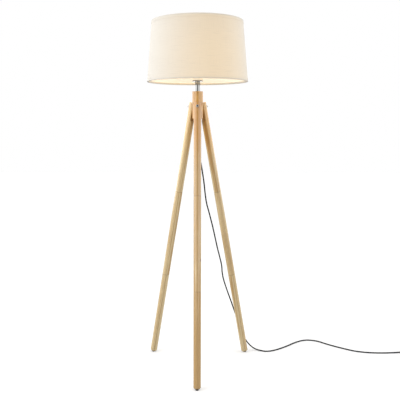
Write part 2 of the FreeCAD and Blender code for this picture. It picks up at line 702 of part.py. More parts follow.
def plug():
    """A flat two-pin plug that lies on the floor with its pins towards -X."""
    mid_z = PLUG_THICK / 2
    back_x = PLUG_FRONT_X + PLUG_LENGTH
    half = PLUG_WIDTH / 2
    outline = [
        (PLUG_FRONT_X, PLUG_Y - half), (PLUG_FRONT_X + 14, PLUG_Y - half), (back_x - 6, PLUG_Y - 8.5),
        (back_x, PLUG_Y - 6.8), (back_x, PLUG_Y + 6.8), (back_x - 6, PLUG_Y + 8.5),
        (PLUG_FRONT_X + 14, PLUG_Y + half), (PLUG_FRONT_X, PLUG_Y + half),
    ]
    points = [Vector(x, y, 0) for x, y in outline]
    body = Part.Face(Part.makePolygon(points + points[:1])).extrude(Vector(0, 0, PLUG_THICK))
    body = body.makeFillet(2.5, edges_at_height(body, PLUG_THICK) + edges_at_height(body, 0))
    pins = []
    sleeves = []
    for side in (-1, 1):
        y = PLUG_Y + side * PIN_SPACING / 2
        tip = PLUG_FRONT_X - PIN_LENGTH
        pin = along_x(cylinder(PIN_R, 0, PIN_LENGTH + 12), tip, y, mid_z)
        pins.append(pin.makeFillet(1.2, [e for e in pin.Edges if e.BoundBox.XMax < tip + 1e-4]))
        sleeve = pipe_piece(PIN_R + 0.35, PIN_R + 0.02, 0, SLEEVE_LENGTH)
        sleeves.append(along_x(sleeve, PLUG_FRONT_X - SLEEVE_LENGTH, y, mid_z))
        body = body.cut(along_x(cylinder(PIN_R + 0.02, 0, 12.1), PLUG_FRONT_X, y, mid_z))
    relief = turned([
        (CORD_R + FIT, 0), (6.2, 0), (CORD_R + 1.0, PLUG_RELIEF_LENGTH), (CORD_R + FIT, PLUG_RELIEF_LENGTH),
    ])
    return {
        "plug_body": body,
        "plug_pins": group(pins),
        "plug_pin_sleeves": group(sleeves),
        "plug_relief": along_x(relief, back_x, PLUG_Y, mid_z),
    }


# ---------------------------------------------------------------- the lead
def coil_tie():
    """A strap round the coil's section, on the side towards -X."""
    x, y = COIL_CENTRE
    thickness = 0.8
    width = 12.0
    room = 0.1  # above and below the coil
    side_room = 1.0
    middle = x - COIL_MEAN_R

    def block(growth, length):
        reach = COIL_HALF_WIDTH + side_room + growth
        low = COIL_BOTTOM_Z - room - growth
        height = COIL_HEIGHT + 2 * (room + growth)
        return Part.makeBox(2 * reach, length, height, Vector(middle - reach, y - length / 2, low))

    return block(thickness, width).cut(block(0.0, width + 2))


def lead():
    return {
        "cord_run": cord_tube("cord_run", HANGING_ROUTE + FLOOR_ROUTE + [SWITCH_IN]),
        "cord_lead": cord_tube("cord_lead", LEAD_ROUTE),
        "cord_tail": cord_tube("cord_tail", TAIL_ROUTE),
        "cord_coil": pipe_piece(
            COIL_MEAN_R + COIL_HALF_WIDTH, COIL_MEAN_R - COIL_HALF_WIDTH,
            COIL_BOTTOM_Z, COIL_BOTTOM_Z + COIL_HEIGHT, COIL_CENTRE),
        "coil_tie": coil_tie(),
    }


def main():
    os.makedirs("parts", exist_ok=True)
    print("splay", round(SPLAY, 2), "degrees, leg", round(LEG_AXIS_LENGTH, 1), "mm")
    for build in (legs, neck_and_hub, lampholder, bulb, shade, foot_switch, plug, lead):
        for name, shape in build().items():
            if not shape.isValid():
                print("INVALID", name)
            shape.exportStep(f"parts/{name}.step")


main()
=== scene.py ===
"""Looks of the tripod floor lamp: cloth shade, wooden legs, bright neck, lead, foot switch and plug.
Everything is in metres in the row frame: the floor is z = 0 and the hub's axis is X = Y = 0."""

import json
import math
import random

import bmesh
import bpy
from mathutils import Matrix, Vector


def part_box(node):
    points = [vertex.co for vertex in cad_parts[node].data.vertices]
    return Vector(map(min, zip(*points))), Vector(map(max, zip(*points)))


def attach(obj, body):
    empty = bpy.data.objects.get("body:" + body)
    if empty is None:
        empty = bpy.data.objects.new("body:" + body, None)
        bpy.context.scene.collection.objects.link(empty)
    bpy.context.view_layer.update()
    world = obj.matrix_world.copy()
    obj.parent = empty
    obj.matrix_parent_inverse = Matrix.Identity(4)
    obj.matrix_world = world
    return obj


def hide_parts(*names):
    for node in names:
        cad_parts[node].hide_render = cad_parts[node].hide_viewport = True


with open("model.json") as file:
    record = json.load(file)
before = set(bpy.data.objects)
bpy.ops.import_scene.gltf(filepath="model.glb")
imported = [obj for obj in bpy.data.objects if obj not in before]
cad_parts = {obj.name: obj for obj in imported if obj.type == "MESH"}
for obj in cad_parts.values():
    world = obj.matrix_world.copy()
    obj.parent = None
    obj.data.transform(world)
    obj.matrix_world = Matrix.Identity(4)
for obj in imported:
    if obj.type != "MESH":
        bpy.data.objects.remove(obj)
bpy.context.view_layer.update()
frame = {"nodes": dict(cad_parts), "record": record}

LAMP = "lamp"
MM = 0.001

# ---------------------------------------------------------------- sizes read from the frame
FABRIC_LOW, FABRIC_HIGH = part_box("shade_fabric")
SHADE_BOTTOM_Z = FABRIC_LOW.z
SHADE_TOP_Z = FABRIC_HIGH.z
SHADE_HEIGHT = SHADE_TOP_Z - SHADE_BOTTOM_Z
SHADE_BOTTOM_R = FABRIC_HIGH.x
RING_TUBE = (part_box("top_wire_ring")[1].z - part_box("top_wire_ring")[0].z) / 2
SHADE_TOP_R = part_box("top_wire_ring")[1].x - RING_TUBE + 4 * MM
SHADE_SLOPE = (SHADE_BOTTOM_R - SHADE_TOP_R) / SHADE_HEIGHT
BULB_LOW, BULB_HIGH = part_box("bulb_globe")
GLOBE_R = BULB_HIGH.x
GLOBE_CENTRE_Z = BULB_HIGH.z - GLOBE_R
LEG_TOP_Z = 1170 * MM  # the legs' axes end here, this far out from the hub's axis
LEG_TOP_CIRCLE_R = 22.2 * MM
LEG_END_RISE = 4.6 * MM  # the wood stops this far short of the floor, along the leg
LEG_FLAT = 8.5 * MM  # from the leg's axis in to the flat where it bears on the hub
LEG_FLAT_LENGTH = 78 * MM
SCREW_FROM_TOP = 20 * MM  # along the leg
SCREW_SEAT = 16.7 * MM  # the heads' undersides, out from the leg's axis
SCREW_HEAD_R = 5 * MM
SCREW_HEAD_LENGTH = 6 * MM
SCREW_WELL_R = 3.5 * MM  # to the corners of the hexagon
CORD_D = 6 * MM
SWITCH_LOW, SWITCH_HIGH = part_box("switch_cover")
SWITCH_Y = (SWITCH_LOW.y + SWITCH_HIGH.y) / 2
LEAD_AXIS_Z = SWITCH_LOW.z
RELIEF_LOW, RELIEF_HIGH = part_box("switch_reliefs")
COIL_LOW, COIL_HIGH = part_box("cord_coil")
COIL_X = (COIL_LOW.x + COIL_HIGH.x) / 2
COIL_Y = (COIL_LOW.y + COIL_HIGH.y) / 2


# ---------------------------------------------------------------- camera
CAMERA_DISTANCE = 2.3282
CAMERA_HEIGHT = 1.0918
CAMERA_SWING = 0.0241  # about the lamp, towards +X, in radians
CAMERA_AIM = 0.0199  # the way it looks, about Z
CAMERA_DIP = 0.1456
CAMERA_TILT = 0.0027  # about the way it looks
LENS = 48.57
FILM_WIDTH = 36.0


def camera():
    data = bpy.data.cameras.new("camera")
    data.lens = LENS
    data.sensor_width = FILM_WIDTH
    data.clip_end = 60.0
    view = bpy.data.objects.new("camera", data)
    view.location = (
        CAMERA_DISTANCE * math.sin(CAMERA_SWING), -CAMERA_DISTANCE * math.cos(CAMERA_SWING), CAMERA_HEIGHT)
    view.rotation_euler = (math.pi / 2 - CAMERA_DIP, CAMERA_TILT, CAMERA_AIM)
    bpy.context.collection.objects.link(view)
    bpy.context.scene.camera = view


camera()


# ---------------------------------------------------------------- the lead
HANGING_ROUTE = [
    (0, 0, 1070), (0, 0, 1012), (6, 6, 950), (17, 15, 887), (26, 25, 827), (31, 33, 772),
    (37, 41, 728), (49, 47, 685), (62, 55, 632), (74, 64, 577), (86, 73, 518), (101, 82, 459),
    (107, 88, 428), (108, 92, 400), (115, 97, 362), (133, 105, 306), (157, 117, 236),
    (183, 136, 154), (205, 146, 86), (229, 149, 38), (260, 143, 9),
]
FLOOR_ROUTE = [
    (290, 131, 3), (327, 118, 3), (377, 143, 3), (429, 185, 3), (482, 236, 3), (533, 263, 3),
    (586, 249, 3), (622, 214, 3), (658, 185, 3), (697, 158, 3), (740, 130, 3), (795, 114, 3),
    (860, 110, 3), (918, 114, 3), (950, 117, 4), (976, 118, 8), (994, 118, 8),
]
LEAD_ROUTE = [
    (1086, 118, 8), (1104, 118, 8), (1124, 118, 5), (1141, 109, 3), (1151, 92, 3), (1152, 70, 3),
    (1150, 37, 3.5),
]
TAIL_ROUTE = [
    (1088, -40, 10), (1066, -44, 8), (1045, -46, 6.85), (1028, -46, 6.85),
]


def metres(route):
    return [Vector(p) * MM for p in route]


COIL_TURNS = 4.25
COIL_TURNS_ON_FLOOR = 2
COIL_R = 42 * MM
COIL_FLOOR_Z = 4 * MM
POINTS_PER_TURN = 16


def coil_points():
    """Four turns and a quarter, clockwise from +X: two inwards on the floor, the rest outwards on top."""
    shrink = math.cos(math.pi / POINTS_PER_TURN)  # the spline runs this much inside its points
    points = []
    for step in range(int(COIL_TURNS * POINTS_PER_TURN) + 1):
        turn = step / POINTS_PER_TURN
        inwards = turn if turn < COIL_TURNS_ON_FLOOR else 2 * COIL_TURNS_ON_FLOOR - turn
        radius = (COIL_R - CORD_D * inwards) / shrink
        layer = min(max((turn - COIL_TURNS_ON_FLOOR + 0.15) / 0.3, 0.0), 1.0)
        height = COIL_FLOOR_Z + CORD_D * layer
        angle = -2 * math.pi * turn
        points.append(Vector((
            COIL_X + radius * math.cos(angle), COIL_Y + radius * math.sin(angle), height)))
    return points


def cord(name, points, node_names):
    curve = bpy.data.curves.new(name, "CURVE")
    curve.dimensions = "3D"
    curve.bevel_depth = 1.0  # times each point's radius
    curve.bevel_resolution = 5
    curve.use_fill_caps = True
    spline = curve.splines.new("NURBS")
    spline.points.add(len(points) - 1)
    for slot, point in zip(spline.points, points):
        slot.co = (*point, 1.0)
        slot.radius = CORD_D / 2
    spline.order_u = 3
    spline.use_endpoint_u = True
    spline.resolution_u = 6
    piece = bpy.data.objects.new(name, curve)
    bpy.context.collection.objects.link(piece)
    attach(piece, LAMP)
    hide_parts(*node_names)
    return piece


# ---------------------------------------------------------------- shader expressions
# The Mix node has sockets of the same name for numbers and for colours, so they go by their places.
MIX_FACTOR = 0
MIX_COLOUR_A = 6
MIX_COLOUR_B = 7
MIX_COLOUR_RESULT = 2


class Value:
    """A node's output. Arithmetic on it adds Math nodes to the same material."""

    def __init__(self, graph, socket):
        self.graph = graph
        self.socket = socket

    def _maths(self, operation, *operands):
        inputs = dict(enumerate(operands))
        return self.graph.add("ShaderNodeMath", {"operation": operation}, inputs)["Value"]

    def __add__(self, other):
        return self._maths("ADD", self, other)

    def __radd__(self, other):
        return self._maths("ADD", other, self)

    def __sub__(self, other):
        return self._maths("SUBTRACT", self, other)

    def __rsub__(self, other):
        return self._maths("SUBTRACT", other, self)

    def __mul__(self, other):
        return self._maths("MULTIPLY", self, other)

    def __rmul__(self, other):
        return self._maths("MULTIPLY", other, self)

    def __truediv__(self, other):
        return self._maths("DIVIDE", self, other)

    def __rtruediv__(self, other):
        return self._maths("DIVIDE", other, self)

    def __pow__(self, other):
        return self._maths("POWER", self, other)

    def sine(self):
        return self._maths("SINE", self)

    def least(self, other):
        return self._maths("MINIMUM", self, other)

    def most(self, other):
        return self._maths("MAXIMUM", self, other)

    def ease(self, low, high, start=0.0, end=1.0):
        """Smoothly from `start` where the value is at `low` to `end` where it is at `high`."""
        sockets = {"Value": self, "From Min": low, "From Max": high, "To Min": start, "To Max": end}
        return self.graph.add("ShaderNodeMapRange", {"interpolation_type": "SMOOTHSTEP"}, sockets)["Result"]


class Outputs:
    """The outputs of one node, by name or by place."""

    def __init__(self, graph, node):
        self.graph = graph
        self.node = node

    def __getitem__(self, name):
        return Value(self.graph, self.node.outputs[name])


class Graph:
    """The nodes of a material or a world, ending in the shader of the given name."""

    def __init__(self, owner, shader_name):
        owner.use_nodes = True
        self.tree = owner.node_tree
        self.shader = self.tree.nodes[shader_name]

    def add(self, kind, settings=None, sockets=None):
        node = self.tree.nodes.new(kind)
        for name, value in (settings or {}).items():
            setattr(node, name, value)
        for name, value in (sockets or {}).items():
            self.feed(node.inputs[name], value)
        return Outputs(self, node)

    def feed(self, socket, value):
        if isinstance(value, Value):
            self.tree.links.new(value.socket, socket)
        else:
            socket.default_value = value

    def place(self):
        """Where the surface is, in the row frame."""
        return self.add("ShaderNodeTexCoord")["Object"]

    def split(self, vector):
        parts = self.add("ShaderNodeSeparateXYZ", None, {"Vector": vector})
        return parts["X"], parts["Y"], parts["Z"]

    def join(self, x, y, z):
        return self.add("ShaderNodeCombineXYZ", None, {"X": x, "Y": y, "Z": z})["Vector"]

    def mix(self, factor, a, b, blend="MIX"):
        settings = {"data_type": "RGBA", "blend_type": blend}
        sockets = {MIX_FACTOR: factor, MIX_COLOUR_A: rgba(a), MIX_COLOUR_B: rgba(b)}
        return self.add("ShaderNodeMix", settings, sockets)[MIX_COLOUR_RESULT]

    def noise(self, vector, scale=1.0, detail=2.0, roughness=0.5):
        sockets = {"Vector": vector, "Scale": scale, "Detail": detail, "Roughness": roughness}
        return self.add("ShaderNodeTexNoise", None, sockets)["Fac"]

    def surface(self, **links):
        """Feeds the shader's varying sockets: Base_Color, Roughness, Emission_Color and so on."""
        for name, value in links.items():
            self.feed(self.shader.inputs[name.replace("_", " ")], value)

    def bump(self, height, strength, distance):
        sockets = {"Height": height, "Strength": strength, "Distance": distance}
        self.surface(Normal=self.add("ShaderNodeBump", None, sockets)["Normal"])


class Finish(Graph):
    """One material. Its constants are set on the shader's own sockets."""

    def __init__(self, name, **constants):
        self.material = bpy.data.materials.new(name)
        super().__init__(self.material, "Principled BSDF")
        for socket, value in constants.items():
            self.shader.inputs[socket.replace("_", " ")].default_value = value


def rgba(colour):
    return (*colour, 1.0) if isinstance(colour, tuple) else colour


# ---------------------------------------------------------------- wood
WOOD_PALE = (0.775, 0.61, 0.34)
WOOD_LATE = (0.52, 0.32, 0.122)
WOOD_DARK = (0.20, 0.115, 0.06)
# painted light: this warm tint is multiplied into the wood near the hub and stands for the bulb's light
# falling on it; the table below gives how strongly on each leg
BULB_LIGHT_TINT = (1.0, 0.79, 0.44)
BULB_WARMTH = {"front": 1.0, "right": 1.0, "left": 0.5}
# how dark each leg's lower, middle and upper section is, set for each
DEPTH = {"front": (0.80, 0.60, 0.75), "right": (0.0, 0.10, 0.15), "left": (0.0, 0.05, -0.15)}
RING_WIDTH = 4.5 * MM


def wood(name, along, seed, bulb_warmth, depth, seams=(), knots=(), planed_above=None):
    """Satin-varnished softwood, its varnish a stronger mirror than a real one.
    `along` gives the place in the piece's own frame, +Z along the grain, warmth is how strongly the
    bulb's warm light is painted on the wood near the hub, depth is how dark the piece is, seams are heights
    of the joints, knots are (height, angle, radius of the piece) and planed_above is the height above which
    the inward side is a bare planed flat."""
    graph = Finish(name, Coat_Weight=1.0, Coat_Roughness=0.16, Coat_IOR=1.75, Specular_IOR_Level=0.1)
    x, y, s = graph.split(along(graph))
    shift = random.Random(seed)
    pith_x = shift.uniform(0.02, 0.045)
    pith_y = shift.uniform(-0.03, 0.03)
    offset = shift.uniform(0, 50)

    slow = graph.noise(graph.join(x * 18, y * 18, s * 2.2 + offset), detail=3.0)
    fibre = graph.noise(graph.join(x * 900, y * 900, s * 16 + offset), detail=3.0, roughness=0.65)
    pores = graph.noise(graph.join(x * 1700, y * 1700, s * 55 + offset), detail=1.0)
    patches = graph.noise(graph.join(x * 30, y * 30, s * 7 + offset), detail=2.0)

    swirl = 0.0
    knot_mark = 0.0
    for height, angle, radius in knots:
        dx = x - radius * math.cos(angle)
        dy = y - radius * math.sin(angle)
        ds = (s - height) * 0.55
        reach = (dx * dx + dy * dy + ds * ds) ** 0.5
        swirl = swirl + reach.ease(0.0, 16 * MM, 6 * MM, 0.0)
        knot_mark = knot_mark + reach.ease(1.5 * MM, 4.5 * MM, 1.0, 0.0)

    across = ((x - pith_x) ** 2.0 + (y - pith_y) ** 2.0) ** 0.5
    ring = (across + slow * 9 * MM + s * 1.1 * MM + swirl) / RING_WIDTH
    late = ((ring * (2 * math.pi)).sine() * 0.5 + 0.5) ** 2.5
    tone = late * 0.9 + (fibre - 0.5) * 0.9 + (patches - 0.5) * 1.2 + depth
    colour = graph.mix(tone.ease(0.0, 1.0), WOOD_PALE, WOOD_LATE)
    # painted light: from 0.86 m up to 1.06 m the wood takes on the bulb's warm light
    above_floor = graph.split(graph.place())[2]
    painted_bulb_light = above_floor.ease(0.86, 1.06, 0.0, bulb_warmth)
    colour = graph.mix(painted_bulb_light, colour, BULB_LIGHT_TINT, "MULTIPLY")
    pore_mark = pores.ease(0.60, 0.74) * 0.35
    colour = graph.mix(pore_mark, colour, WOOD_DARK)
    marks = knot_mark
    for height in seams:
        gap = (s - height) * (s - height)
        marks = marks + gap.ease(0.0, (1.8 * MM) ** 2, 0.45, 0.0)
    if seams or knots:
        colour = graph.mix(marks.least(0.85), colour, WOOD_DARK)
    graph.surface(Base_Color=colour, Roughness=0.42 + fibre * 0.18)
    if planed_above:
        off_the_flat = (x + LEG_FLAT).ease(0.1 * MM, 0.4 * MM)
        graph.surface(Coat_Weight=off_the_flat.most((planed_above - s).ease(0.0, 0.2 * MM)))
    graph.bump(fibre * 0.5 - pore_mark - late * 0.25, 0.35, 0.25 * MM)
    return graph.material


def feet():
    """Each leg's name and its foot's place, from the record's mounts."""
    found = {}
    for mount in frame["record"]["mounts"]:
        if mount["name"].endswith("_foot"):
            found[mount["name"].removesuffix("_foot")] = Vector(mount["pos_m"])
    return found


def splay(foot):
    """The legs' lean from upright."""
    return math.atan2(foot.length - LEG_TOP_CIRCLE_R, LEG_TOP_Z)


def leg_length(foot):
    return LEG_TOP_Z / math.cos(splay(foot))


def leg_frame(foot):
    """Turns the row frame into a leg's own: +Z up the leg from its foot and -X towards the hub."""
    def along(graph):
        turn = {"Rotation": (0.0, 0.0, -math.atan2(foot.y, foot.x)), "Location": (-foot.length, 0.0, 0.0)}
        lean = {"Rotation": (0.0, splay(foot), 0.0)}
        turned = graph.add("ShaderNodeMapping", None, {"Vector": graph.place(), **turn})["Vector"]
        return graph.add("ShaderNodeMapping", None, {"Vector": turned, **lean})["Vector"]
    return along


KNOTS = {
    "front_leg_middle": [(0.530, 1.0, 0.0157), (0.700, 3.0, 0.0158)],
    "right_leg_middle": [(0.470, 0.9, 0.0156)],
    "left_leg_upper": [(1.020, -0.8, 0.0161)],
    "left_leg_lower": [(0.120, 0.4, 0.0153)],
}


def paint_wood():
    seed = 3
    for side, foot in feet().items():
        section = (leg_length(foot) - LEG_END_RISE) / 3
        for index, part in enumerate(("lower", "middle", "upper")):
            node = f"{side}_leg_{part}"
            seams = [LEG_END_RISE + section * joint for joint in (1, 2) if joint in (index, index + 1)]
            planed_above = leg_length(foot) - LEG_FLAT_LENGTH if part == "upper" else None
            material = wood(
                f"wood_{node}", leg_frame(foot), seed, BULB_WARMTH[side], DEPTH[side][index], seams,
                KNOTS.get(node, ()), planed_above)
            paint(node, material)
            seed += 1
    paint("hub", wood("wood_hub", Graph.place, seed, bulb_warmth=1.0, depth=0.5))


# ---------------------------------------------------------------- cloth
CLOTH = (0.66, 0.63, 0.575)
CLOTH_SLUB = (0.58, 0.54, 0.48)
GLOW = (0.71, 0.42, 0.08)
GLOW_OBLIQUE = (0.13, 0.10, 0.06)  # the glow at right angles to the painted hot spot, paler and weaker
GLOW_INSIDE = (1.0, 0.80, 0.55)
YARN = 1.5 * MM
PAINTED_HOTSPOT_SIDE = math.radians(-70)  # the glow is painted strongest this way and the opposite way, a painted highlight of the bulb seen through the cloth


def round_the_shade(graph):
    """Distance round the shade, height, and distance from the bulb's middle."""
    x, y, z = graph.split(graph.place())
    angle = graph.add("ShaderNodeMath", {"operation": "ARCTAN2"}, {0: y, 1: x})["Value"]
    mean_r = (SHADE_BOTTOM_R + SHADE_TOP_R) / 2
    drop = z - GLOBE_CENTRE_Z
    reach = (x * x + y * y + drop * drop) ** 0.5
    return angle * mean_r, z, reach


def weave(graph, u, v):
    """Plain weave: the height of the yarns, and the thicker slubs that run both ways."""
    step = 2 * math.pi / YARN
    over_under = (u * step).sine() * (v * step).sine()
    weft = graph.noise(graph.join(u * 14, v * 620, 0.0), detail=3.0, roughness=0.6)
    warp = graph.noise(graph.join(u * 620, v * 14, 3.0), detail=3.0, roughness=0.6)
    slub = weft.ease(0.50, 0.78) * 0.9 + warp.ease(0.52, 0.80) * 0.6
    return over_under * 0.35 + slub, slub


def cloth(name, glow_strength, tint=CLOTH):
    """Cream linen-look cloth with the lamp's light coming through it, except where the wires lie. The glow
    is painted strongest facing one side and its opposite, a painted highlight of the bulb, paler at right
    angles.
    """
    graph = Finish(name, Sheen_Weight=0.25, Sheen_Roughness=0.5, Emission_Strength=glow_strength)
    u, v, reach = round_the_shade(graph)
    height, slub = weave(graph, u, v)
    graph.surface(
        Base_Color=graph.mix(slub * 0.55, tint, CLOTH_SLUB),
        Roughness=0.82 + slub * 0.1)
    x, y, z = graph.split(graph.place())
    # painted highlight: the glow is brightest where the cloth faces the hot spot's side and its opposite
    hotspot_facing = (x * math.cos(PAINTED_HOTSPOT_SIDE) + y * math.sin(PAINTED_HOTSPOT_SIDE)) / SHADE_BOTTOM_R
    nearness = (SHADE_TOP_R / reach) ** 3.0 * 0.25 + 0.75
    clear = (z - SHADE_BOTTOM_Z).least(SHADE_TOP_Z - z).ease(2 * MM, 6 * MM, 0.5, 1.0)
    through = nearness * clear * (1.0 - slub * 0.22)
    glow = graph.mix(hotspot_facing * hotspot_facing, GLOW_OBLIQUE, GLOW)
    graph.surface(Emission_Color=graph.mix(through.least(1.0), (0.0, 0.0, 0.0), glow))
    graph.bump(height, 0.5, 0.25 * MM)
    return graph.material


def lining():
    """White backing sheet inside the shade, with the bulb's light on it painted as a glow, brightest level
    with the bulb.
    """
    graph = Finish("shade_lining", Roughness=0.55, Emission_Strength=0.38)
    u, v, reach = round_the_shade(graph)
    height, slub = weave(graph, u, v)
    mottle = graph.noise(graph.join(u * 25, v * 25, 0.0), detail=3.0)
    graph.surface(Base_Color=graph.mix(slub * 0.25, (0.88, 0.86, 0.80), (0.78, 0.74, 0.66)))
    nearness = ((SHADE_TOP_R / reach) ** 3.0 * 0.4 + 0.6) * (0.95 + mottle * 0.1)
    graph.surface(Emission_Color=graph.mix(nearness.least(1.0), (0.0, 0.0, 0.0), GLOW_INSIDE))
    graph.bump(height * 0.3 + mottle * 0.4, 0.2, 0.2 * MM)
    return graph.material


# ---------------------------------------------------------------- metals, plastics, rubber
def metal(name, colour, roughness, scratch=0.06):
    graph = Finish(name, Metallic=1.0)
    place = graph.place()
    smear = graph.noise(place, scale=60.0, detail=4.0, roughness=0.6)
    fine = graph.noise(place, scale=900.0, detail=2.0)
    dull = tuple(0.86 * part for part in colour)
    graph.surface(
        Base_Color=graph.mix(smear.ease(0.35, 0.75), colour, dull),
        Roughness=roughness + smear * scratch + (fine - 0.5) * scratch * 0.5)
    graph.bump(fine, 0.05, 0.05 * MM)
    return graph.material


def plastic(name, colour, roughness, grain_size, grain_depth, **constants):
    """Moulded plastic or rubber with a fine spark texture and a little dust-dulled unevenness."""
    graph = Finish(name, **constants)
    place = graph.place()
    spark = graph.noise(place, scale=1.0 / grain_size, detail=2.0)
    worn = graph.noise(place, scale=45.0, detail=4.0, roughness=0.6)
    lighter = tuple(min(1.0, part * 1.12 + 0.006) for part in colour)
    graph.surface(
        Base_Color=graph.mix(worn.ease(0.35, 0.75), colour, lighter),
        Roughness=roughness + (worn - 0.5) * 0.16 + (spark - 0.5) * 0.08)
    graph.bump(spark, 0.4, grain_depth)
    return graph.material


def opal_globe():
    graph = Finish("opal_globe", Roughness=0.35, Emission_Strength=2.2)
    z = graph.split(graph.place())[2]
    haze = graph.noise(graph.place(), scale=90.0, detail=2.0)
    rise = z.ease(BULB_LOW.z, BULB_HIGH.z, 0.75, 1.0) * (0.96 + haze * 0.08)
    graph.surface(
        Base_Color=graph.mix(haze, (0.93, 0.92, 0.88), (0.88, 0.87, 0.83)),
        Emission_Color=graph.mix(rise, (0.0, 0.0, 0.0), (1.0, 0.86, 0.64)))
    return graph.material


def floor_finish():
    """A white sweep that throws back less light than the eye sees on it."""
    graph = Finish("floor_finish", Roughness=0.9, Specular_IOR_Level=0.0, Emission_Strength=0.31)
    cloudy = graph.noise(graph.place(), scale=1.6, detail=4.0)
    white = graph.mix(cloudy, (0.60, 0.60, 0.597), (0.62, 0.62, 0.617))
    seen = graph.add("ShaderNodeLightPath")["Is Camera Ray"]
    graph.surface(
        Base_Color=graph.mix(seen, (0.34, 0.34, 0.34), white),
        Emission_Color=graph.mix(seen, (0.0, 0.0, 0.0), (1.0, 1.0, 1.0)))
    return graph.material


def paint(node, material):
    """Puts a material on a CAD node, whose own shape is kept."""
    target = frame["nodes"][node]
    target.data.materials.clear()
    target.data.materials.append(material)


# ---------------------------------------------------------------- mesh building
def softened(outline, radius, steps=4):
    """Rounds the corners of a closed outline of (r, z) points, each by at most a third of its sides."""
    points = [Vector(p) for p in outline]
    soft = []
    for i, corner in enumerate(points):
        before = points[i - 1] - corner
        after = points[(i + 1) % len(points)] - corner
        if corner.x < 1e-6 or radius <= 0:
            soft.append(corner)
            continue
        back = corner + before.normalized() * min(radius, before.length * 0.4)
        ahead = corner + after.normalized() * min(radius, after.length * 0.4)
        for k in range(steps + 1):
            t = k / steps
            soft.append(back * (1 - t) ** 2 + corner * 2 * t * (1 - t) + ahead * t ** 2)
    return soft


def new_piece(name, mesh_builder, material, nodes, sharp=40.0):
    """Makes a mesh into a piece of the lamp that stands for the given CAD nodes."""
    mesh = bpy.data.meshes.new(name)
    mesh_builder.normal_update()
    bmesh.ops.recalc_face_normals(mesh_builder, faces=mesh_builder.faces)
    mesh_builder.to_mesh(mesh)
    mesh_builder.free()
    mesh.shade_smooth()
    mesh.set_sharp_from_angle(angle=math.radians(sharp))
    piece = bpy.data.objects.new(name, mesh)
    bpy.context.collection.objects.link(piece)
    mesh.materials.append(material)
    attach(piece, LAMP)
    if nodes:
        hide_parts(*nodes)
    return piece


def lathe(outline, segments=96, change=None, angles=None):
    """A closed outline of (r, z) points turned about Z. `change(r, z, angle)` may move a point."""
    mesh_builder = bmesh.new()
    turns = angles or [2 * math.pi * i / segments for i in range(segments)]
    columns = []
    for angle in turns:
        column = []
        for r, z in outline:
            nr, nz = change(r, z, angle) if change else (r, z)
            column.append(mesh_builder.verts.new((nr * math.cos(angle), nr * math.sin(angle), nz)))
        columns.append(column)
    count = len(outline)
    for i, column in enumerate(columns):
        following = columns[(i + 1) % len(columns)]
        for k in range(count):
            after = (k + 1) % count
            mesh_builder.faces.new((column[k], following[k], following[after], column[after]))
    bmesh.ops.remove_doubles(mesh_builder, verts=mesh_builder.verts, dist=1e-6)
    bmesh.ops.dissolve_degenerate(mesh_builder, edges=mesh_builder.edges, dist=1e-7)
    return mesh_builder


def laid_along_x(mesh_builder, x, y, z, direction=1):
    """Lays a turned piece down so that its +Z runs along X, its base at (x, y, z)."""
    for vert in mesh_builder.verts:
        rx, ry, rz = vert.co
        vert.co = (x + direction * rz, y + ry, z + direction * -rx)
    return mesh_builder


# ---------------------------------------------------------------- shade
FABRIC_THICK = 0.8 * MM
LINING_THICK = 1.0 * MM
LAP_WIDTH = 11 * MM  # the cloth overlaps itself by this much down one side
LAP_ANGLE = math.radians(112)
HEM_BAND = 13 * MM
HEM_THICK = 0.6 * MM
HEM_TURN_IN = 7 * MM
HEM_REACH_IN = 6.05 * MM  # from the shade's outside in to the fold's inside, past the wire
ARM_ANGLES = [math.radians(90 + 120 * i) for i in range(3)]


def shade_r(z):
    return SHADE_BOTTOM_R - (z - SHADE_BOTTOM_Z) * SHADE_SLOPE


def shade_columns():
    """Even columns, with extra ones at the two edges of the lap."""
    even = [2 * math.pi * i / 240 for i in range(240)]
    lap = LAP_WIDTH / SHADE_BOTTOM_R
    step = 0.35 * MM / SHADE_BOTTOM_R
    extra = [LAP_ANGLE - step, LAP_ANGLE, LAP_ANGLE + lap, LAP_ANGLE + lap + 4 * step]
    kept = [a for a in even if not LAP_ANGLE - 2 * step < a < LAP_ANGLE + lap + 6 * step]
    return sorted(kept + extra)


def shade_skin(outside, thickness, rows=14):
    low = []
    high = []
    for i in range(rows + 1):
        z = SHADE_BOTTOM_Z + SHADE_HEIGHT * i / rows
        low.append((shade_r(z) - outside - thickness, z))
        high.append((shade_r(z) - outside, z))
    return low + high[::-1]


def lapped(r, z, angle):
    """The outer face steps out where the cloth's free edge lies over its other end."""
    lap = LAP_WIDTH / SHADE_BOTTOM_R
    on_outside = r > shade_r(z) - FABRIC_THICK / 2
    if on_outside and LAP_ANGLE - 1e-6 <= angle <= LAP_ANGLE + lap + 1e-6:
        return r + 0.55 * MM, z
    return r, z


def hem_outline(end_z, up):
    """Tape over the shade's end: a band outside, a rounded fold, and a short turn-in round the wire."""
    inner_r = shade_r(end_z) - HEM_REACH_IN
    outer_r = shade_r(end_z) + 0.05 * MM
    band_z = end_z + up * HEM_BAND
    band_r = shade_r(band_z) + 0.05 * MM
    fold_z = end_z - up * HEM_THICK
    outline = [
        (outer_r, end_z), (band_r, band_z), (band_r + HEM_THICK, band_z), (outer_r + HEM_THICK, fold_z),
        (inner_r - HEM_THICK, fold_z), (inner_r - HEM_THICK, end_z + up * HEM_TURN_IN),
        (inner_r, end_z + up * HEM_TURN_IN), (inner_r, end_z),
    ]
    return softened(outline, 0.5 * MM, 3)


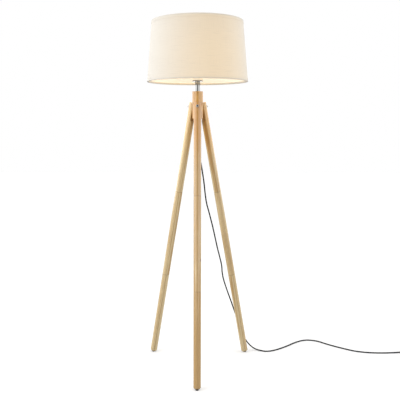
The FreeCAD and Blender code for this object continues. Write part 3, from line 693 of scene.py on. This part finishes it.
def hem_change(end_z, up, notched):
    ripple = random.Random(11)
    phases = [ripple.uniform(0, 6.28) for _ in range(4)]

    def change(r, z, angle):
        band = min(max(up * (z - end_z) / HEM_BAND, 0.0), 1.0)
        wave = sum(math.sin(angle * n + p) for n, p in zip((23, 41, 67, 97), phases)) / 4
        if r > shade_r(z):
            z += up * band * wave * 0.25 * MM
            r += 0.06 * MM * (1 + wave)
        elif notched and up * (z - end_z) > 0.5 * MM:
            near = min(abs(math.remainder(angle - arm, 2 * math.pi)) for arm in ARM_ANGLES)
            if near < 4.5 * MM / SHADE_BOTTOM_R:
                z = end_z + up * 0.2 * MM
        return r, z
    return change


def shade():
    outer_cloth = cloth("shade_cloth", glow_strength=0.52)
    tape = cloth("hem_tape", glow_strength=0.50, tint=(0.65, 0.62, 0.565))
    skin = new_piece(
        "shade_cloth", lathe(shade_skin(0.0, FABRIC_THICK), change=lapped, angles=shade_columns()),
        outer_cloth, ["shade_fabric"], sharp=25)
    slant = math.hypot(SHADE_HEIGHT, SHADE_BOTTOM_R - SHADE_TOP_R)
    outer_reach = slant * SHADE_BOTTOM_R / (SHADE_BOTTOM_R - SHADE_TOP_R)
    spread = 2 * math.pi * SHADE_BOTTOM_R / outer_reach
    flat_width = 2 * outer_reach * math.sin(spread / 2)
    flat_length = outer_reach - (outer_reach - slant) * math.cos(spread / 2)
    new_piece(
        "shade_lining", lathe(shade_skin(FABRIC_THICK, LINING_THICK), segments=240),
        lining(), ["shade_liner"])
    for name, end_z, up in (("top_hem", SHADE_TOP_Z, -1), ("bottom_hem", SHADE_BOTTOM_Z, 1)):
        change = hem_change(end_z, up, name == "bottom_hem")
        new_piece(
            f"{name}_tape", lathe(hem_outline(end_z, up), segments=360, change=change), tape,
            [name])


# ---------------------------------------------------------------- lampholder and bulb
def threaded(pitch, depth, low, high, outer):
    """Moves the outer face of a turned piece in and out along a helix."""
    def change(r, z, angle):
        if r > outer - 0.2 * MM and low < z < high:
            crest = math.sin(2 * math.pi * (z / pitch) - angle)
            return r - depth * (0.5 - 0.5 * crest), z
        return r, z
    return change


def stacked(low, high, r, step):
    """Points up a straight face, close enough together to carry a thread."""
    count = max(2, round((high - low) / step))
    return [(r, low + (high - low) * i / count) for i in range(count + 1)]


def threaded_pieces(ivory, steel):
    low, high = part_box("holder_body")
    outer_r = high.x
    shoulder_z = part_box("fitter_ring")[0].z
    barrel_r = 19.7 * MM
    bore = 17.2 * MM
    mouth = 14.6 * MM
    barrel = stacked(shoulder_z + 0.5 * MM, high.z - 1.2 * MM, barrel_r, 0.4 * MM)
    outline = [
        (bore, low.z), (outer_r, low.z), (outer_r, shoulder_z), (barrel_r, shoulder_z), *barrel,
        (barrel_r - 1.0 * MM, high.z), (mouth, high.z), (mouth, high.z - 3 * MM), (bore, high.z - 3 * MM),
    ]
    change = threaded(2.0 * MM, 0.45 * MM, shoulder_z + 1 * MM, high.z - 1.5 * MM, barrel_r)
    new_piece("holder_threaded_body", lathe(outline, 128, change), ivory, ["holder_body"])

    low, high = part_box("bulb_cap")
    cap_r = high.x
    wall = stacked(low.z + 6 * MM, high.z, cap_r, 0.45 * MM)
    outline = [(0.0, low.z), (6 * MM, low.z), (cap_r - 1.6 * MM, low.z + 4.6 * MM), *wall, (0.0, high.z)]
    change = threaded(3.6 * MM, 0.9 * MM, low.z + 6 * MM, high.z - 2 * MM, cap_r)
    new_piece("bulb_screw_cap", lathe(outline, 96, change), steel, ["bulb_cap"])


def clamp_ring(ivory):
    low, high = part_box("shade_clamp_ring")
    bore = 19.85 * MM
    outline = softened([
        (bore, low.z), (high.x, low.z), (high.x, low.z + 2.5 * MM), (24.2 * MM, low.z + 3.4 * MM),
        (23.2 * MM, high.z), (bore, high.z),
    ], 0.6 * MM, 3)

    def grip(r, z, angle):
        if r > 21.5 * MM and z > low.z + 3.6 * MM:
            return r - 0.55 * MM * (0.5 + 0.5 * math.cos(24 * angle)) ** 2, z
        return r, z
    new_piece("shade_grip_ring", lathe(outline, 240, grip), ivory, ["shade_clamp_ring"])


def bulb():
    low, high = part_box("bulb_body")
    neck_r = 13.5 * MM
    wide_r = high.x
    rise = high.z - low.z
    outer = []
    for i in range(25):
        t = i / 24
        ease = t * t * (3 - 2 * t)
        outer.append((neck_r + (wide_r - neck_r) * ease, low.z + rise * (0.1 + 0.9 * t)))
    outline = [(0.0, low.z), (neck_r, low.z), *outer, (0.0, high.z)]
    white = plastic("lamp_housing", (0.86, 0.85, 0.82), 0.38, 0.4 * MM, 0.02 * MM)
    new_piece("lamp_housing", lathe(outline, 96), white, ["bulb_body"])

    start = math.asin(min(1.0, (BULB_LOW.z - GLOBE_CENTRE_Z) / GLOBE_R))
    steps = 28
    arc = [start + (math.pi / 2 - start) * i / steps for i in range(steps + 1)]
    outside = [(GLOBE_R * math.cos(a), GLOBE_CENTRE_Z + GLOBE_R * math.sin(a)) for a in arc]
    inside = [
        ((GLOBE_R - 1.2 * MM) * math.cos(a), GLOBE_CENTRE_Z + (GLOBE_R - 1.2 * MM) * math.sin(a))
        for a in reversed(arc)]
    outside[-1] = (0.0, outside[-1][1])
    inside[0] = (0.0, inside[0][1])
    new_piece("opal_globe", lathe(outside + inside, 96), opal_globe(), ["bulb_globe"])


# ---------------------------------------------------------------- leg screws
def screw_head():
    """A socket cap head with a knurled side, a chamfered rim and a hexagonal well, along +Z."""
    rim = SCREW_HEAD_R - 0.6 * MM
    depth = 3.6 * MM
    top = SCREW_HEAD_LENGTH
    side = stacked(0.5 * MM, top - 0.7 * MM, SCREW_HEAD_R, 1.2 * MM)
    outline = [
        (0.0, 0.0), (SCREW_HEAD_R - 0.4 * MM, 0.0), *side, (rim, top), (SCREW_WELL_R + 0.55 * MM, top),
        (SCREW_WELL_R, top - 0.5 * MM), (SCREW_WELL_R, top - depth), (0.0, top - depth - 0.6 * MM),
    ]

    def shape(r, z, angle):
        if abs(r - SCREW_HEAD_R) < 1e-6 and 1 * MM < z < top - 1 * MM:
            return r - 0.16 * MM * (0.5 + 0.5 * math.cos(36 * angle)), z
        if abs(r - SCREW_WELL_R) < 1e-6:
            turn = math.remainder(angle, math.pi / 3)
            return r * math.cos(math.pi / 6) / math.cos(turn), z
        return r, z
    return lathe(outline, 144, shape)


def screw_finish():
    """Nickel-plated outside, with painted shade down in the well so that it reads as a hole."""
    graph = Finish("screw_plating", Metallic=1.0)
    well = 0.0
    for foot in feet().values():
        x, y, s = graph.split(leg_frame(foot)(graph))
        rise = s - (leg_length(foot) - SCREW_FROM_TOP)
        off_axis = (y * y + rise * rise) ** 0.5
        inside = off_axis.ease(SCREW_WELL_R + 0.05 * MM, SCREW_WELL_R + 0.25 * MM, 1.0, 0.0)
        sunk = (SCREW_SEAT + SCREW_HEAD_LENGTH - x).ease(0.1 * MM, 1.2 * MM)
        well = (inside * sunk).most(well)
    smear = graph.noise(graph.place(), scale=240.0, detail=3.0)
    plated = graph.mix(smear, (0.72, 0.71, 0.69), (0.56, 0.55, 0.52))
    graph.surface(
        # painted shade: near black down in the hexagonal well
        Base_Color=graph.mix(well, plated, (0.012, 0.011, 0.010)),
        Roughness=0.26 + smear * 0.14 + well * 0.4)
    graph.bump(smear, 0.1, 0.05 * MM)
    return graph.material


def leg_screws():
    finish = screw_finish()
    for side, foot in feet().items():
        head = screw_head()
        lean = splay(foot)
        azimuth = math.atan2(foot.y, foot.x)
        height = leg_length(foot) - SCREW_FROM_TOP
        for vert in head.verts:
            across, along, out = vert.co
            x = SCREW_SEAT + out
            s = height + across
            radial = foot.length + x * math.cos(lean) - s * math.sin(lean)
            vert.co = (
                radial * math.cos(azimuth) - along * math.sin(azimuth),
                radial * math.sin(azimuth) + along * math.cos(azimuth),
                x * math.sin(lean) + s * math.cos(lean))
        new_piece(f"{side}_leg_screw", head, finish, ["leg_screws"], sharp=30)


# ---------------------------------------------------------------- pieces on the lead
SLEEVE_LENGTH = 26 * MM
SLEEVE_THIN_R = 4.0 * MM
SLEEVE_RIBS = 5


def ribbed_relief(length, thick_r, thin_r, ribs):
    """A tapered sleeve with rings cut nearly through it, thin end at z = 0."""
    bore = CORD_D / 2 + 0.1 * MM
    outline = [(bore, 0.0)]
    count = 8 * ribs
    for i in range(count + 1):
        t = i / count
        radius = thin_r + (thick_r - thin_r) * t ** 1.3
        groove = 0.5 - 0.5 * math.cos(2 * math.pi * ribs * t)
        depth = 0.3 * (radius - bore) * groove ** 3 if 0.04 < t < 0.9 else 0.0
        outline.append((radius - depth, length * t))
    outline.append((bore, length))
    return lathe(outline, 48)


def switch_sleeves(soft_black):
    """One at each end of the switch, thick ends against the case."""
    pieces = []
    for name, end_x, direction, nodes in (
            ("switch_sleeve_in", RELIEF_LOW.x, 1, []),
            ("switch_sleeve_out", RELIEF_HIGH.x, -1, ["switch_reliefs"])):
        sleeve = ribbed_relief(SLEEVE_LENGTH, 5.8 * MM, SLEEVE_THIN_R, SLEEVE_RIBS)
        laid = laid_along_x(sleeve, end_x, SWITCH_Y, LEAD_AXIS_Z, direction)
        pieces.append(new_piece(name, laid, soft_black, nodes))
    return pieces


def tie_band(soft_black):
    """A strap round the coil, with rounded corners."""
    low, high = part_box("coil_tie")
    centre = (low + high) / 2
    half_x = (high.x - low.x) / 2 - 0.4 * MM
    half_z = (high.z - low.z) / 2 - 0.05 * MM
    thick = 0.8 * MM
    corner = 3.5 * MM
    steps = 6
    path = []
    for quarter in range(4):
        side_x = 1 if quarter in (0, 3) else -1
        side_z = 1 if quarter in (0, 1) else -1
        middle = Vector((side_x * (half_x - corner), side_z * (half_z - corner)))
        for i in range(steps + 1):
            angle = math.pi / 2 * (quarter + i / steps)
            path.append(middle + Vector((math.cos(angle), math.sin(angle))) * corner)
    mesh_builder = bmesh.new()
    loops = []
    width = high.y - low.y
    for edge, rounding in ((-0.5, 0.125), (-0.46, 0.0), (0.46, 0.0), (0.5, 0.125)):
        y = centre.y + width * edge
        outer = []
        inner = []
        for point in path:
            out = point - point.normalized() * thick * rounding
            back = point - point.normalized() * thick
            outer.append(mesh_builder.verts.new((centre.x + out.x, y, centre.z + out.y)))
            inner.append(mesh_builder.verts.new((centre.x + back.x, y, centre.z + back.y)))
        loops.append((outer, inner))
    count = len(path)
    for (outer, inner), (outer2, inner2) in zip(loops, loops[1:]):
        for i in range(count):
            j = (i + 1) % count
            mesh_builder.faces.new((outer[i], outer[j], outer2[j], outer2[i]))
            mesh_builder.faces.new((inner[i], inner2[i], inner2[j], inner[j]))
    for outer, inner in (loops[0], loops[-1]):
        for i in range(count):
            j = (i + 1) % count
            mesh_builder.faces.new((outer[i], inner[i], inner[j], outer[j]))
    return new_piece("coil_strap", mesh_builder, soft_black, ["coil_tie"])


def plug_sleeve(soft_black):
    low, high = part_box("plug_relief")
    centre = (low + high) / 2
    sleeve = ribbed_relief(high.x - low.x, 6.2 * MM, SLEEVE_THIN_R, SLEEVE_RIBS)
    laid = laid_along_x(sleeve, high.x, centre.y, centre.z, -1)
    return new_piece("plug_sleeve", laid, soft_black, ["plug_relief"])


# ---------------------------------------------------------------- light and floor
SOFTBOX_PLACE = (-2.4, -1.5, 1.7)
SOFTBOX_AIM = (0.0, 0.0, 0.9)
SOFTBOX_SIZE = (2.0, 2.6)
SOFTBOX_POWER = 49
BULB_POWER = 3.5
FLOOR_HALF = 9.0


def left_softbox():
    """Lights the cloth and the wood from the left, and isn't mirrored in the bright metal."""
    data = bpy.data.lights.new("left_softbox", "AREA")
    data.shape = "RECTANGLE"
    data.size, data.size_y = SOFTBOX_SIZE
    data.energy = SOFTBOX_POWER
    lamp = bpy.data.objects.new("left_softbox", data)
    lamp.location = SOFTBOX_PLACE
    lamp.visible_glossy = False
    lamp.rotation_euler = (Vector(SOFTBOX_AIM) - Vector(SOFTBOX_PLACE)).to_track_quat("-Z", "Y").to_euler()
    bpy.context.collection.objects.link(lamp)


def bulb_light():
    data = bpy.data.lights.new("bulb_light", "POINT")
    data.energy = BULB_POWER
    data.color = (1.0, 0.64, 0.32)
    data.shadow_soft_size = GLOBE_R * 1.03
    lamp = bpy.data.objects.new("bulb_light", data)
    lamp.location = (0.0, 0.0, GLOBE_CENTRE_Z)
    bpy.context.collection.objects.link(lamp)


FRONT_GLOW = 0.05  # the studio is darkest behind the camera
SIDE_GLOW = 1.85
BACK_GLOW = 1.0
GLOW_TILT = 0.13  # how much brighter the studio is towards +X
DARK_TURN = -0.12  # radians about Z from straight behind the camera to the middle of the dark side
FRONT_MIRRORED = 0.0  # bright metal and varnish mirror a narrower dark side
SIDE_MIRRORED = 2.1
MIRRORED_TILT = -0.14
POLE_SOFTENING = 0.02  # keeps the directions calm straight up and straight down


def surroundings():
    """A white sweep round the lamp, dark only on the near side. Seen directly it is plain white, and
    mirrored in metal or varnish it has a narrower dark side."""
    world = bpy.data.worlds.new("studio")
    bpy.context.scene.world = world
    graph = Graph(world, "Background")
    x, y, z = graph.split(graph.add("ShaderNodeTexCoord")["Generated"])
    level = (x * x + y * y + POLE_SOFTENING) ** 0.5
    heading = (y * math.cos(DARK_TURN) - x * math.sin(DARK_TURN)) / level  # -1 on the dark side, 1 opposite
    near = heading.ease(-1.0, -0.38, FRONT_GLOW, SIDE_GLOW)
    glow = (near - heading.ease(0.15, 0.9, 0.0, SIDE_GLOW - BACK_GLOW)) * (1.03 + x * GLOW_TILT)
    mirrored = (y / level).ease(-0.995, -0.86, FRONT_MIRRORED, SIDE_MIRRORED) * (1.0 + x * MIRRORED_TILT)
    path = graph.add("ShaderNodeLightPath")
    glow = glow + path["Is Glossy Ray"] * (mirrored - glow)
    graph.surface(Color=(1.0, 1.0, 1.0, 1.0), Strength=glow + path["Is Camera Ray"] * (1.0 - glow))


def floor():
    mesh = bpy.data.meshes.new("floor")
    corners = [(x * FLOOR_HALF, y * FLOOR_HALF, 0.0) for x, y in ((-1, -1), (1, -1), (1, 1), (-1, 1))]
    mesh.from_pydata(corners, [], [(0, 1, 2, 3)])
    mesh.materials.append(floor_finish())
    sheet = bpy.data.objects.new("floor", mesh)
    bpy.context.collection.objects.link(sheet)


def studio():
    left_softbox()
    bulb_light()
    surroundings()
    floor()


# ---------------------------------------------------------------- put it together
def finishes():
    # both chromes are darker than real chrome, to suit the very bright surround that they mirror here; the
    # neck disc's is far darker still, painted shade for its dark edge under the lampholder
    chrome = metal("chrome", (0.32, 0.32, 0.31), 0.05, 0.04)
    disc_chrome_painted_shade = metal("disc_chrome_painted_shade", (0.07, 0.068, 0.065), 0.08, 0.04)
    steel = metal("plated_steel", (0.68, 0.68, 0.69), 0.24)
    brass = metal("brass", (0.75, 0.57, 0.28), 0.28)
    white_wire = plastic("white_powder_coat", (0.86, 0.86, 0.84), 0.42, 0.5 * MM, 0.04 * MM)
    # painted light: the ivory plastic glows a little, standing for the bulb's light falling on the
    # lampholder
    ivory_painted_glow = plastic(
        "ivory_plastic_painted_glow", (0.84, 0.76, 0.62), 0.34, 0.35 * MM, 0.02 * MM,
        Emission_Color=(1.0, 0.80, 0.55, 1.0), Emission_Strength=0.20)
    ceramic = plastic("ceramic", (0.84, 0.83, 0.80), 0.5, 0.4 * MM, 0.03 * MM)
    rubber = plastic("foot_rubber", (0.035, 0.032, 0.030), 0.75, 0.5 * MM, 0.08 * MM)
    soft_black = plastic(
        "black_pvc", (0.008, 0.008, 0.009), 0.6, 0.3 * MM, 0.02 * MM, Specular_IOR_Level=0.1)
    hard_black = plastic("black_case", (0.022, 0.022, 0.024), 0.36, 0.45 * MM, 0.05 * MM)
    by_slot = {
        "chrome": chrome, "plated_steel": steel, "brass": brass, "ivory_plastic": ivory_painted_glow,
        "white_wire": white_wire, "ceramic": ceramic, "rubber": rubber, "black_pvc": soft_black,
        "black_plastic": hard_black,
    }
    for part in frame["record"]["subparts"]:
        if part["material_slot"] in by_slot:
            paint(part["node"], by_slot[part["material_slot"]])
    # painted shade: the neck disc is near black
    paint("neck_disc", disc_chrome_painted_shade)
    return by_slot


def lead(soft_black):
    near_sleeve, far_sleeve = switch_sleeves(soft_black)
    strap = tie_band(soft_black)
    sleeve = plug_sleeve(soft_black)
    run = cord(
        "lead_to_switch", metres(HANGING_ROUTE + FLOOR_ROUTE),
        node_names=["cord_run"])
    rest = cord(
        "lead_to_plug", metres(LEAD_ROUTE) + coil_points() + metres(TAIL_ROUTE),
        node_names=["cord_lead", "cord_coil", "cord_tail"])
    for piece in (run, rest):
        piece.data.materials.append(soft_black)


by_slot = finishes()
lead(by_slot["black_pvc"])
paint_wood()
shade()
threaded_pieces(by_slot["ivory_plastic"], by_slot["plated_steel"])
clamp_ring(by_slot["ivory_plastic"])
bulb()
leg_screws()
studio()
bpy.context.scene.view_settings.view_transform = "Standard"

bpy.context.view_layer.update()
